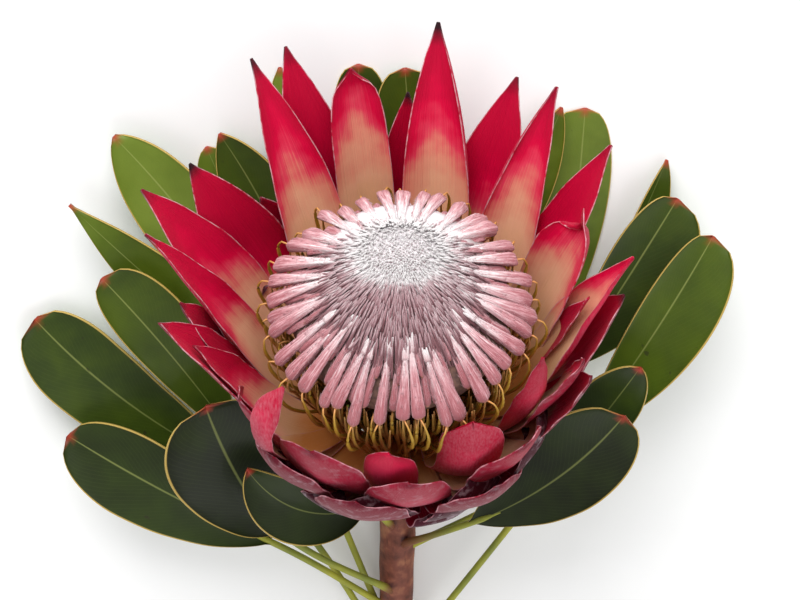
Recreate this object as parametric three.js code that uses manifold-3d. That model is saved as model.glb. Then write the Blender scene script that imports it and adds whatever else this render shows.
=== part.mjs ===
// A king protea flower head on its cut, leafy stem. The stem lies on a table and the heavy head rests on
// its lowest leaves, tilted up towards the viewer. Millimetres and degrees: +Z is up from the table, +Y runs
// from the stem's cut end towards the head, and +X is to the viewer's right.
import * as THREE from "three";
import { mergeVertices } from "three/addons/utils/BufferGeometryUtils.js";
import Module from "manifold-3d";

const wasm = await Module();
wasm.setup();

// --- Driving dimensions --------------------------------------------------------------------------
const HEAD_TILT = 38; // the head's axis above the table
const NECK_HEIGHT = 40; // where the stem meets the head, above the table
const STEM_LENGTH = 168; // along the table, from the neck back to the cut
const STEM_RADIUS = 7.8;
const NECK_RADIUS = 7.2;
const RECEPTACLE_RADIUS = 22; // the woody disc inside the head that bracts and florets grow from
const SEAT_GAP = 0.3; // between pieces that touch
const PETIOLE_RADIUS = 1.9;
const LEAF_THICKNESS = 1.0;
const BRACT_THICKNESS = 1.1;
const TIP_HALF_WIDTH = 0.7; // of leaves and bracts

const rad = THREE.MathUtils.degToRad;
const v3 = (x, y, z) => new THREE.Vector3(x, y, z);
const MIDDLE = v3(-11.5, -2.5, 0); // the middle of the whole outline on the table, from below the neck

// --- Solids from rings of points -----------------------------------------------------------------

function solidFrom(positions, index) {
  const geometry = new THREE.BufferGeometry();
  geometry.setAttribute("position", new THREE.Float32BufferAttribute(positions, 3));
  geometry.setIndex(index);
  return solidOf(geometry);
}

function solidOf(geometry) {
  geometry.deleteAttribute("normal");
  geometry.deleteAttribute("uv");
  const merged = mergeVertices(geometry, 1e-4);
  return new wasm.Manifold(
    new wasm.Mesh({
      numProp: 3,
      vertProperties: merged.attributes.position.array,
      triVerts: new Uint32Array(merged.index.array),
    }),
  );
}

// Joins rings of points into one closed solid. Each ring runs anticlockwise as seen from the end of the row.
// A flat ring runs across a blade's upper face and back along its lower face: the lower face's quads are
// split the other way, so that both faces hold the same triangles and a waved blade never crosses itself.
function loft(rings, flat = false) {
  const count = rings[0].length;
  const columns = count / 2 - 1;
  const last = (rings.length - 1) * count;
  const index = [];
  const quad = (a, b, c, d) => index.push(a, b, c, a, c, d);
  const quadMirrored = (a, b, c, d) => index.push(a, b, d, b, c, d);
  for (let row = 0; row < last; row += count)
    for (let j = 0; j < count; j++) {
      const k = (j + 1) % count;
      const split = flat && j > columns && j < count - 1 ? quadMirrored : quad;
      split(row + j, row + k, row + count + k, row + count + j);
    }
  if (flat)
    for (let c = 0; c < columns; c++) {
      const under = count - 1 - c;
      quad(under, under - 1, c + 1, c);
      quad(last + c, last + c + 1, last + under - 1, last + under);
    }
  else
    for (let j = 1; j + 1 < count; j++) {
      index.push(0, j + 1, j);
      index.push(last, last + j, last + j + 1);
    }
  return solidFrom(rings.flat().flatMap((p) => [p.x, p.y, p.z]), index);
}

// The point at t, with the directions to the left of the curve and out towards face.
function frameAt(curve, t, face) {
  const tangent = curve.getTangent(t);
  const side = face.clone().cross(tangent).normalize();
  const normal = tangent.clone().cross(side);
  return { point: curve.getPoint(t), side, normal };
}

// A ring of points round a frame's point: radius to its sides, and flatness times as much along its normal.
function ringAround({ point, side, normal }, sides, radius, flatness = 1) {
  return Array.from({ length: sides }, (_, j) => {
    const angle = ((j + 0.5) / sides) * 2 * Math.PI;
    return point
      .clone()
      .addScaledVector(side, radius * Math.cos(angle))
      .addScaledVector(normal, radius * flatness * Math.sin(angle));
  });
}

// A round or oval section swept along a curve: radius(t) is the half width.
function sweepRings(curve, steps, sides, radius, face = v3(0, 0, 1), flatness = 1) {
  return Array.from({ length: steps + 1 }, (_, i) => {
    const t = i / steps;
    return ringAround(frameAt(curve, t, face), sides, radius(t), flatness);
  });
}

const BLADE_COLUMNS = 2;
const BLADE_CUP = 0.3; // the usual curl, in radians
const WAVES_ALONG_MARGIN = 1.25;

// A leaf or bract: a thin sheet along its midrib. left(t) and right(t) are its half widths, cup is the angle
// that each half curls towards face, roll turns it about the midrib, and wave lifts the two margins in turn.
function blade({ midrib, face, left, right, thickness, rows, cup = BLADE_CUP, roll = 0, wave = 0 }) {
  const rings = [];
  for (let i = 0; i <= rows; i++) {
    const t = i / rows;
    const { point, side, normal } = frameAt(midrib, t, face);
    const across = side.clone().multiplyScalar(Math.cos(roll)).addScaledVector(normal, Math.sin(roll));
    const up = normal.clone().multiplyScalar(Math.cos(roll)).addScaledVector(side, -Math.sin(roll));
    const upper = [];
    const lower = [];
    for (let j = 0; j <= BLADE_COLUMNS; j++) {
      const s = 1 - (2 * j) / BLADE_COLUMNS;
      const half = s > 0 ? left(t) : right(t);
      const curl = cup * s;
      const phase = s > 0 ? 0.1 : 0.55; // the two margins rise and fall in turn
      const lift = wave * s * s * Math.sin(2 * Math.PI * (WAVES_ALONG_MARGIN * t + phase));
      const middle = point
        .clone()
        .addScaledVector(across, (half * Math.sin(curl)) / cup)
        .addScaledVector(up, (half * (1 - Math.cos(curl))) / cup + lift);
      const outward = up.clone().multiplyScalar(Math.cos(curl)).addScaledVector(across, -Math.sin(curl));
      upper.push(middle.clone().addScaledVector(outward, thickness / 2));
      lower.push(middle.clone().addScaledVector(outward, -thickness / 2));
    }
    rings.push([...upper, ...lower.reverse()]);
  }
  return rings;
}

// A soft leaf under the head is flattened by the table.
function pressOntoTable(rings, thickness) {
  for (const ring of rings)
    ring.forEach((point, j) => {
      const upperFace = j <= BLADE_COLUMNS;
      point.z = Math.max(point.z, upperFace ? thickness : 0);
    });
}

function meshOf(name, solid, colour, roughness) {
  const { vertProperties, triVerts, numProp } = solid.getMesh();
  const positions = [];
  for (let i = 0; i < vertProperties.length; i += numProp) {
    positions.push(...vertProperties.subarray(i, i + 3));
  }
  const geometry = new THREE.BufferGeometry();
  geometry.setAttribute("position", new THREE.Float32BufferAttribute(positions, 3));
  geometry.setIndex([...triVerts]);
  geometry.computeVertexNormals();
  const material = new THREE.MeshStandardMaterial({ color: colour, roughness, flatShading: true });
  const mesh = new THREE.Mesh(geometry, material);
  mesh.name = name;
  return mesh;
}

const union = (solids) => wasm.Manifold.union(solids);

// The largest body of a solid: loose scraps and sealed hollows are left out.
function wholeBody(solid) {
  return solid.decompose().reduce((best, body) => (body.volume() > best.volume() ? body : best));
}

// --- The stem, with the receptacle at its top ----------------------------------------------------

const neck = v3(0, 0, NECK_HEIGHT);
const headAxis = v3(0, Math.cos(rad(HEAD_TILT)), Math.sin(rad(HEAD_TILT)));
const stemLine = new THREE.CubicBezierCurve3(
  v3(-3, -STEM_LENGTH, STEM_RADIUS), // the cut end lies on the table
  v3(-2, -104, 14),
  neck.clone().addScaledVector(headAxis, -46), // the stem bends up into the head's axis
  neck,
);

// Height above the neck and radius of the receptacle, where the stem widens inside the head.
const RECEPTACLE = [
  [3, 10],
  [7, 18],
  [11, RECEPTACLE_RADIUS],
  [17, 20],
  [22, 14],
  [25, 6],
];

const RECEPTACLE_WIDEST = 2; // its row above
const SLANT = 1.6; // the receptacle's slanting sides take this many times the gap, measured across

// The stem, or with grown the seat it needs in a piece around it; place moves it to that piece's own frame.
function stemSolid(grown = 0, place = new THREE.Matrix4()) {
  const sides = 16;
  const radius = (t) => THREE.MathUtils.lerp(STEM_RADIUS, NECK_RADIUS, t) + grown;
  const rings = sweepRings(stemLine, 9, sides, radius);
  const top = frameAt(stemLine, 1, v3(0, 0, 1));
  RECEPTACLE.forEach(([height, radius], i) => {
    const raised = height + (i > RECEPTACLE_WIDEST ? grown : 0);
    const point = neck.clone().addScaledVector(headAxis, raised);
    rings.push(ringAround({ ...top, point }, sides, radius + SLANT * grown));
  });
  return loft(rings.map((ring) => ring.map((point) => point.applyMatrix4(place))));
}

// The head's own frame stands on the neck, with +Z along its axis and +Y on its underside.
const head = new THREE.Group();
head.position.copy(neck);
head.rotation.x = rad(HEAD_TILT - 90);
head.updateMatrix();

const stem = stemSolid();
const stemSeat = stemSolid(SEAT_GAP);
const stemSeatInHead = stemSolid(SEAT_GAP, head.matrix.clone().invert());

// --- The leaves ----------------------------------------------------------------------------------
// along: from the neck down the stem to the petiole's root. base, tip: the two ends of the blade.
// left, right: its half widths. point: how fast it narrows to the tip. face: where the upper side looks.
// cup: the curl of its halves, in radians. arch: how far the midrib bows towards the face. sway: how far it
// bows to its left. wave: how far the margins rise and fall. dip: how far the petiole hangs below a line.
const PRESSED = { arch: -2, cup: 0.04, wave: 0 }; // flat on the table
const LIMP = { arch: 0, cup: 0.2, wave: 0 }; // lying on the leaves beside it
const LEAVES = [
  // under the head
  { along: 14, base: [-12, 50, 2.2], tip: [-17, 135, 0], left: 12, right: 12, dip: 8, ...PRESSED },
  { along: 19, base: [8, 50, 4], tip: [2, 135, 5], left: 14, right: 14, dip: 6, ...LIMP },
  { along: 23, base: [-34, 46, 3], tip: [-49, 134, 1.5], left: 12, right: 12, point: 0.8, ...LIMP },
  { along: 32, base: [72, 24, 2.2], tip: [76, 116, 0], left: 17, right: 13, ...PRESSED },
  { along: 26, base: [38, 44, 4.5], tip: [66, 118, 5], left: 10, right: 10, point: 0.8, arch: 2, wave: 0 },
  // left, from the back to the front
  {
    along: 32, base: [-42, 34, 5.5], tip: [-74, 107, 6],
    left: 15, right: 14, point: 0.8, arch: 0, sway: -4, wave: 0,
  },
  { along: 40, base: [-52, 26, 2.2], tip: [-80, 99, 0], left: 12, right: 12, point: 0.6, ...PRESSED },
  {
    along: 48, base: [-62, 24, 11], tip: [-117, 107, 9],
    left: 18, right: 15.5, point: 0.7, face: [0.1, 0, 1], sway: -6,
  },
  {
    along: 140, base: [-70, 14, 17], tip: [-136, 79, 15],
    left: 10, right: 13, point: 1.2, face: [0, 0.1, 1], dip: 6,
  },
  {
    along: 56, base: [-70, -24, 26], tip: [-123, 51, 26],
    left: 11.5, right: 18, face: [0.2, 0.1, 1], arch: 5, sway: -3,
  },
  { along: 150, base: [-70, -45, 13], tip: [-155, 23, 6], left: 21, right: 19.5, arch: 2, sway: 7, dip: 3 },
  {
    along: 124, base: [-56, -75, 25], tip: [-142, -25, 21],
    left: 19.5, right: 19, point: 0.5, face: [0.1, 0.1, 1], arch: 8,
  },
  {
    along: 108, base: [-53, -64, 36], tip: [-80, 4, 50],
    left: 26, right: 26, face: [0.2, 0.4, 1], arch: 6, sway: 4,
  },
  {
    along: 66, base: [-15, -52, 36], tip: [-63, -20, 60],
    left: 15, right: 11, point: 0.75, face: [0, 0.5, 1], sway: 12,
  },
  // right, from the front to the back
  {
    along: 71, base: [30, -56, 42], tip: [91, 6, 62],
    left: 21, right: 18, face: [0.1, 0.4, 1], arch: 6, sway: -6,
  },
  {
    along: 92, base: [70, -30, 34], tip: [98, 22, 50],
    left: 14, right: 11.5, point: 0.6, face: [0.1, 0.4, 1],
  },
  {
    along: 156, base: [76, -24, 26], tip: [128, 70, 26],
    left: 11, right: 20, face: [-0.2, 0.2, 1], arch: 8, sway: -2,
  },
  { along: 50, base: [72, 4, 14], tip: [114, 82, 15], left: 12, right: 21, face: [-0.2, 0.1, 1], arch: 6 },
  { along: 41, base: [82, 18, 5], tip: [110, 95, 5], left: 3, right: 11, point: 0.8, arch: 0, wave: 0 },
];

// Half width along a leaf: a long wedge from the petiole, widest past the middle, then round or pointed.
function leafHalf(half, point) {
  const rise = 0.85;
  const shape = (t) => t ** rise * (1 - t) ** point;
  const widest = rise / (rise + point);
  return (t) => {
    const least = t < 0.5 ? PETIOLE_RADIUS : TIP_HALF_WIDTH;
    return Math.max((half * shape(t)) / shape(widest), least);
  };
}

function leafSolid(leaf) {
  const { along, base, tip, left, right, point = 0.42, face = [0, 0, 1], arch = 4, sway = 0 } = leaf;
  const { cup = BLADE_CUP, wave = left * 0.07, dip = 0 } = leaf;
  const from = v3(...base);
  const to = v3(...tip);
  const look = v3(...face).normalize();
  const run = to.clone().sub(from);
  const side = look.clone().cross(run).normalize();
  const bow = look.clone().multiplyScalar(arch).addScaledVector(side, sway);
  const midrib = new THREE.CubicBezierCurve3(
    from,
    from.clone().addScaledVector(run, 0.33).add(bow),
    from.clone().addScaledVector(run, 0.67).add(bow),
    to,
  );
  const rings = blade({
    midrib,
    face: look,
    left: leafHalf(left, point),
    right: leafHalf(right, point),
    thickness: LEAF_THICKNESS,
    rows: 8,
    cup,
    wave,
  });
  pressOntoTable(rings, LEAF_THICKNESS);
  // The petiole leaves the stem towards the blade, comes into line with the midrib and ends inside the blade.
  const root = stemLine.getPointAt(1 - along / stemLine.getLength());
  const reach = from.distanceTo(root);
  const entry = midrib.getTangent(0);
  const petiole = new THREE.CubicBezierCurve3(
    root,
    root.clone().lerp(from, 0.35).add(v3(0, 0, reach * 0.02 - dip)),
    from.clone().addScaledVector(entry, -reach * 0.3),
    from.clone().addScaledVector(entry, 3),
  );
  const stalk = loft(sweepRings(petiole, 4, 4, () => PETIOLE_RADIUS));
  return wholeBody(union([loft(rings, true), stalk]).subtract(stemSeat));
}

// --- The bracts ----------------------------------------------------------------------------------
// In the head's own frame: +Z is its axis, from the neck, and +Y is its underside, towards the table.
// azimuth: of the tip, round the head, 0 at the viewer's right and 90 underneath. root: how many degrees
// further round the bract starts. layer: 0 is the innermost whorl. reach, rise: the tip's radius and height.
// width: across it. lean: its turn about its midrib. point: how fast it narrows to the tip. knee: the radius
// and height that its curve is drawn to, if not to the usual place.
const BRACTS = [
  { azimuth: 82, root: -14, layer: 0, reach: 107, rise: 125, width: 27, lean: 4, point: 3 },
  { azimuth: 122, root: 4, layer: 0, reach: 109, rise: 120, width: 28, lean: 4 },
  { azimuth: 160, root: 11, layer: 1, reach: 104, rise: 117, width: 36, lean: 0 },
  { azimuth: 191, root: 12, layer: 1, reach: 91, rise: 110, width: 34, lean: 4 },
  { azimuth: 223, root: -6, layer: 0, reach: 59, rise: 104, width: 13, lean: -4, knee: [95, 83] },
  { azimuth: 266, layer: 0, reach: 59, rise: 84, width: 24, lean: -4, point: 4 },
  { azimuth: 298, layer: 0, reach: 58, rise: 90, width: 25, lean: -26, point: 4 },
  { azimuth: 332, root: -4, layer: 0, reach: 60, rise: 103, width: 18, lean: -30 },
  { azimuth: 6, root: -18, layer: 0, reach: 88, rise: 112, width: 24, lean: 4 },
  { azimuth: 53, root: -17, layer: 0, reach: 101, rise: 118, width: 25, lean: 4 },
  { azimuth: 102, layer: 1, reach: 98, rise: 119, width: 25, lean: 4, point: 4 },
  { azimuth: 148, root: 2, layer: 2, reach: 95, rise: 111, width: 40, lean: -2 },
  { azimuth: 170, root: 12, layer: 0, reach: 97, rise: 116, width: 19, lean: -4 },
  { azimuth: 210, layer: 1, reach: 70, rise: 80, width: 32, lean: 4, point: 4 },
  { azimuth: 240, layer: 1, reach: 66, rise: 82, width: 38, lean: 6, point: 6 },
  { azimuth: 273, layer: 1, reach: 66, rise: 72, width: 34, lean: 0, point: 5 },
  { azimuth: 312, layer: 1, reach: 70, rise: 76, width: 36, lean: -4, point: 5 },
  { azimuth: 341, layer: 1, reach: 73, rise: 92, width: 26, lean: -18, knee: [66, 56] },
  { azimuth: 21, root: -6, layer: 0, reach: 80, rise: 111, width: 29, lean: 4, point: 8 },
  { azimuth: 63.5, root: -7, layer: 1, reach: 103, rise: 107, width: 36, lean: -2 },
  { azimuth: 88, layer: 2, reach: 92, rise: 96, width: 28, lean: -4 },
  { azimuth: 114, layer: 2, reach: 110, rise: 116, width: 34, lean: -4 },
  { azimuth: 134, layer: 2, reach: 80, rise: 72, width: 36, lean: 4 },
  { azimuth: 182, root: 2, layer: 2, reach: 83, rise: 98, width: 30, lean: 4 },
  { azimuth: 193, root: 20, layer: 0, reach: 80, rise: 92, width: 24, lean: -4 },
  { azimuth: 228, layer: 2, reach: 72, rise: 68, width: 38, lean: 4, point: 4 },
  { azimuth: 256, layer: 2, reach: 69, rise: 56, width: 38, lean: 4, point: 4 },
  { azimuth: 300, layer: 2, reach: 72, rise: 60, width: 38, lean: -4, point: 4 },
  { azimuth: 341, layer: 2, reach: 77, rise: 80, width: 28, lean: 4, knee: [64, 50] },
  { azimuth: 1, root: -6, layer: 2, reach: 85, rise: 96, width: 36, lean: 4 },
  { azimuth: 35, root: -15, layer: 1, reach: 99, rise: 114, width: 29, lean: -4 },
  { azimuth: 2, root: 7, layer: 0, reach: 72, rise: 92, width: 14, lean: 0 },
];
const LAYER_STEP = 2; // from one whorl to the next, at the root
const WHORL_GAP = 1.6; // between the whorls at mid length
// The short, round outer scales that close the bowl, whorl by whorl. start: the first one's azimuth.
const SCALE_WHORLS = [
  { count: 10, start: 8, layer: 3, reach: 61, rise: 50, width: 36 },
  { count: 8, start: 20, layer: 4, reach: 54, rise: 26, width: 34 },
];
const SCALE = { lean: 6, point: 2.2, rows: 3 };

// Half width along a bract: narrow at the root, widest at mid length, then drawn to a point.
function bractWidth(width, point) {
  const root = 0.44;
  const widest = 0.5;
  return (t) => {
    if (t < widest) return (width / 2) * (root + (1 - root) * Math.sin((t / widest) * (Math.PI / 2)));
    return Math.max((width / 2) * (1 - ((t - widest) / (1 - widest)) ** point), TIP_HALF_WIDTH);
  };
}

// A curve in the plane of one azimuth, from four [radius, height] pairs.
function meridian(azimuth, pairs) {
  const out = v3(Math.cos(rad(azimuth)), Math.sin(rad(azimuth)), 0);
  const points = pairs.map(([radius, height]) => out.clone().multiplyScalar(radius).setZ(height));
  return new THREE.CubicBezierCurve3(...points);
}

// A bract's midrib: a meridian that turns from the root's azimuth to the tip's and stands off inner whorls.
function bractLine({ azimuth, root, layer, reach, rise, knee }) {
  const sunk = layer * LAYER_STEP;
  const flat = meridian(0, [
    [RECEPTACLE_RADIUS + 0.5, 13 - sunk],
    [52 - sunk * 0.6, 10 - sunk],
    knee ?? [62 + sunk * 0.4, Math.max(rise * 0.56, 24)],
    [reach, rise],
  ]);
  const steps = 8;
  const points = Array.from({ length: steps + 1 }, (_, i) => {
    const t = i / steps;
    const { x, z } = flat.getPoint(t);
    const gap = Math.min(layer, 2) * WHORL_GAP * Math.sin(Math.PI * t) ** 0.6;
    const turn = rad(azimuth + root * (1 - t) ** 1.2);
    return v3(x + gap * 0.9, 0, z - gap * 0.45).applyAxisAngle(v3(0, 0, 1), turn);
  });
  return new THREE.CatmullRomCurve3(points);
}

function bractSolid({ root = 0, point = 2.4, lean, width, rows, ...bract }) {
  const { azimuth, layer } = bract;
  const half = bractWidth(width, point);
  const rings = blade({
    midrib: bractLine({ root, ...bract }),
    face: v3(-Math.cos(rad(azimuth)), -Math.sin(rad(azimuth)), 0.35),
    left: half,
    right: half,
    thickness: BRACT_THICKNESS,
    rows: rows ?? 5 - layer,
    roll: rad(lean),
  });
  return loft(rings, true);
}

function bractsSolid() {
  const solids = BRACTS.map(bractSolid);
  for (const { count, start, ...whorl } of SCALE_WHORLS)
    for (let i = 0; i < count; i++)
      solids.push(bractSolid({ ...SCALE, ...whorl, azimuth: start + (i * 360) / count }));
  return wholeBody(union(solids).subtract(stemSeatInHead));
}

// A solid turned about the head's axis from [radius, height] pairs.
function lathe(profile, segments) {
  return solidOf(
    new THREE.LatheGeometry(
      profile.map(([radius, height]) => new THREE.Vector2(radius, height)),
      segments,
    ).rotateX(Math.PI / 2),
  );
}

// --- The florets ---------------------------------------------------------------------------------
// The dome of hairy perianths, each lying along the dome with its inner end sunk in the core.
// start: the first one's azimuth. outer, inner: the radii of its two ends.
const FLORET_ROWS = [
  { count: 26, start: 0, outer: 52.5, inner: 30, width: 6.4 },
  { count: 26, start: 7, outer: 49, inner: 27, width: 5.4 },
  { count: 24, start: 3, outer: 37, inner: 20, width: 5.6 },
  { count: 18, start: 0, outer: 25, inner: 11, width: 5 },
  { count: 9, start: 8, outer: 13, inner: 3, width: 4.6 },
];
const FLORET_FLATNESS = 0.7;
const DOME_RADIUS = 52.5;
const DOME_TOP = 123; // above the neck
const DOME_DROP = 35; // from its top to its rim
const DOME_ROUNDING = 4; // of its top
// The solid middle of the dome, under the perianths: [radius, height] pairs.
const DOME_CORE = [
  [0, 78],
  [30, 74],
  [40, 78],
  [42, 87],
  [36, 95],
  [26, 103],
  [14, 111.5],
  [0, 117],
];

const domeHeight = (radius) => {
  const steepness = 1.3;
  return DOME_TOP - DOME_DROP * (Math.hypot(radius, DOME_ROUNDING) / DOME_RADIUS) ** steepness;
};

// A tapered club: its inner end dips into the core, the rest follows the dome.
function floretSolid(azimuth, { outer, inner, width }) {
  const onDome = (share, above) => {
    const radius = THREE.MathUtils.lerp(inner, outer, share);
    return [radius, domeHeight(radius) + above];
  };
  const line = meridian(azimuth, [onDome(0, -8), onDome(0.25, 0.5), onDome(0.7, 1), onDome(1, 0)]);
  const face = v3(Math.cos(rad(azimuth)), Math.sin(rad(azimuth)), 1);
  const halfWidth = (t) => (width / 2) * (0.55 + 0.45 * Math.sin(t * 2));
  return loft(sweepRings(line, 3, 3, halfWidth, face, FLORET_FLATNESS));
}

function floretsSolid() {
  const solids = [lathe(DOME_CORE, 18)];
  for (const row of FLORET_ROWS)
    for (let i = 0; i < row.count; i++) solids.push(floretSolid(row.start + (i * 360) / row.count, row));
  return wholeBody(union(solids));
}

// --- The styles ----------------------------------------------------------------------------------
// The outer styles bow out from the receptacle and hook back under the dome's rim.
const STYLE_COUNT = 32;
const STYLE_RADIUS = 1.05;
const STYLE_START = 3; // the first one's azimuth
const STYLE_SWING = 4; // every second one bows less
// The crowded middle of styles and perianth bases under the dome: [radius, height] pairs.
const STYLE_CORE = [
  [0, 26],
  [20, 23],
  [25, 30],
  [27, 45],
  [30, 62],
  [29, 73.5],
  [0, 77.5],
];

function stylesSolid() {
  const solids = [lathe(STYLE_CORE, 14)];
  for (let i = 0; i < STYLE_COUNT; i++) {
    const swing = i % 2 ? STYLE_SWING : 0;
    const bow = meridian(STYLE_START + (i * 360) / STYLE_COUNT, [
      [21, 30],
      [48, 36 + swing],
      [62 - swing, 73],
      [51, 84 - (i % 3)], // the tips end a little unevenly
    ]);
    solids.push(loft(sweepRings(bow, 5, 3, () => STYLE_RADIUS)));
  }
  return wholeBody(union(solids).subtract(stemSeatInHead));
}

// --- Assembly ------------------------------------------------------------------------------------

const protea = new THREE.Group();
protea.position.copy(MIDDLE).negate();
protea.add(meshOf("stem", stem, 0x7a4a38, 0.7));
LEAVES.forEach((leaf, i) => {
  const name = "leaf_" + String(i + 1).padStart(2, "0");
  protea.add(meshOf(name, leafSolid(leaf), 0x3f5a2c, 0.45));
});

head.add(meshOf("bracts", bractsSolid(), 0xc0133a, 0.55));
head.add(meshOf("florets", floretsSolid(), 0xd9a9b4, 0.9));
head.add(meshOf("styles", stylesSolid(), 0xb59434, 0.5));
protea.add(head);

export default protea;
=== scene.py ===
import math

import bpy
import numpy as np
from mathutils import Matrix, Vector


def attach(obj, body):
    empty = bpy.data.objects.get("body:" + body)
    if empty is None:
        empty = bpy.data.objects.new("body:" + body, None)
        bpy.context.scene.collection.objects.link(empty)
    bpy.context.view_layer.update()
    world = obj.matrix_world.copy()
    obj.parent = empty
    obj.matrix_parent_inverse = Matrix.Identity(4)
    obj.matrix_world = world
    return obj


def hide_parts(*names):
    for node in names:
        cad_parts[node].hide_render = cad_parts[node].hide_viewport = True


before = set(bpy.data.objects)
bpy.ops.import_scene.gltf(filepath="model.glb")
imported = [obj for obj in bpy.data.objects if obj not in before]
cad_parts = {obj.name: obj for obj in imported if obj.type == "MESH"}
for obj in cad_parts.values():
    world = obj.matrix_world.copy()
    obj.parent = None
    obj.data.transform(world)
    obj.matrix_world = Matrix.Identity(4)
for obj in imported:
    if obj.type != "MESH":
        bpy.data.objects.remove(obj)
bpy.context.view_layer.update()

# --- The stem -------------------------------------------------------------------------------------
# A cut woody shoot with thin reddish-brown bark, greener close to the head, where it is youngest. It is sawn off
# at its end and lies on the table; inside the head it widens into the receptacle that everything grows from.

FOOT = np.array([11.5, 2.5, 0.0])  # the point on the table below the neck, in the frame, in millimetres
NECK = np.array([0.0, 0.0, 40.0])  # where the stem meets the head, from FOOT
HEAD_TILT = math.radians(38)
HEAD_AXIS = np.array([0.0, math.cos(HEAD_TILT), math.sin(HEAD_TILT)])
STEM_LINE = [(-3, -168, 7.8), (-2, -104, 14), NECK - 46 * HEAD_AXIS, NECK]
STEM_RADII = (7.8, 7.2)  # at the cut and at the neck
RECEPTACLE = [(3, 10), (7, 18), (11, 22), (17, 20), (22, 14), (25, 6)]  # height above the neck, radius
BARK_LUMP = 0.35  # millimetres
# Where leaf stalks grow from the side that faces up: how far from the neck, and how far across.
STALK_NODES = [(72, -2.5), (82, 3.0), (108, -2.0)]
CUSHION_ABOVE = 6.4  # their cushions' middles, above the stem's own middle
CUSHION_SWELL = 1.3
CUSHION_SIZE = 3.6
SCAR_AHEAD = 2.6  # the scar's middle, from the cushion's towards the head
UP = np.array([0.0, 0.0, 1.0])


def unit(vectors):
    return vectors / np.linalg.norm(vectors, axis=-1, keepdims=True)


def mix(a, b, share):
    return a + (b - a) * share


def smooth(low, high, value):
    """0 below low, 1 above high, and a soft step between them."""
    x = np.clip((value - low) / (high - low), 0, 1)
    return x * x * (3 - 2 * x)


def bezier(points, t):
    """The places and directions at the shares t along a cubic curve."""
    p = [np.array(point, float) for point in points]
    t = np.asarray(t, float)[:, None]
    s = 1 - t
    place = s**3 * p[0] + 3 * s**2 * t * p[1] + 3 * s * t**2 * p[2] + t**3 * p[3]
    way = s**2 * (p[1] - p[0]) + 2 * s * t * (p[2] - p[1]) + t**2 * (p[3] - p[2])
    return place, unit(way)


def tube(place, way, radius, sides, face=UP, flatness=1.0, **marks):
    """A closed tube along a line. radius is one number, one for each place, or one for each place and side."""
    steps = len(place)
    angle = (np.arange(sides) + 0.5) / sides * 2 * math.pi
    side = unit(np.cross(face, way))
    normal = np.cross(way, side)
    if np.ndim(radius) < 2:
        radius = np.asarray(radius, float).reshape(-1, 1)
    radius = np.broadcast_to(radius, (steps, sides))
    across = (radius * np.cos(angle))[..., None] * side[:, None]
    out = (radius * flatness * np.sin(angle))[..., None] * normal[:, None]
    points = (place[:, None] + across + out).reshape(-1, 3)
    first = np.arange(steps - 1)[:, None] * sides
    j = np.arange(sides)
    k = (j + 1) % sides
    walls = np.stack([first + j, first + k, first + sides + k, first + sides + j], -1).reshape(-1, 4)
    ends = [list(range(sides))[::-1], list(range((steps - 1) * sides, steps * sides))]
    for name, value in marks.items():
        value = np.asarray(value, float)
        marks[name] = np.broadcast_to(value.reshape(-1, 1) if value.ndim < 2 else value, (steps, sides)).ravel()
    return points, walls.tolist() + ends, marks


def grow(name, parts, finish, slot, *nodes):
    """One piece from parts of [points, faces, marks], in millimetres from FOOT, in place of its CAD nodes."""
    points = np.concatenate([part[0] for part in parts])
    starts = np.cumsum([0] + [len(part[0]) for part in parts[:-1]])
    faces = [[start + i for i in face] for start, part in zip(starts.tolist(), parts) for face in part[1]]
    mesh = bpy.data.meshes.new(name)
    mesh.from_pydata((points + FOOT) / 1000, [], faces)
    for mark in parts[0][2]:
        values = np.concatenate([part[2][mark] for part in parts]).astype(np.float32)
        mesh.attributes.new(mark, "FLOAT", "POINT").data.foreach_set("value", values)
    mesh.shade_smooth()
    mesh.materials.append(finish)
    grown = bpy.data.objects.new(name, mesh)
    bpy.context.scene.collection.objects.link(grown)
    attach(grown, "root")
    if nodes:
        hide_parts(*nodes)


def linear(hex_colour):
    """An sRGB hex colour as Blender's linear one."""
    channels = [int(hex_colour[i : i + 2], 16) / 255 for i in (1, 3, 5)]
    return [c / 12.92 if c <= 0.04045 else ((c + 0.055) / 1.055) ** 2.4 for c in channels] + [1.0]


def add(tree, kind, inputs=None, stops=(), out=0, **settings):
    """Adds a node with its settings, a value, hex colour or link for each input, and its colour stops."""
    node = tree.nodes.new("ShaderNode" + kind)
    for key, value in settings.items():
        setattr(node, key, value)
    for key, value in (inputs or {}).items():
        if isinstance(value, bpy.types.NodeSocket):
            tree.links.new(value, node.inputs[key])
        else:
            node.inputs[key].default_value = linear(value) if isinstance(value, str) else value
    for i, (place, colour) in enumerate(stops):
        stop = node.color_ramp.elements[i] if i < 2 else node.color_ramp.elements.new(place)
        stop.position = place
        stop.color = linear(colour)
    return node.outputs[out]


def finish_of(name, skin):
    """A material with its Principled shader's constants set; returns the material, its tree and the shader."""
    material = bpy.data.materials.new(name)
    material.use_nodes = True
    shader = material.node_tree.nodes["Principled BSDF"]
    for key, value in skin.items():
        shader.inputs[key].default_value = value
    return material, material.node_tree, shader


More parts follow.
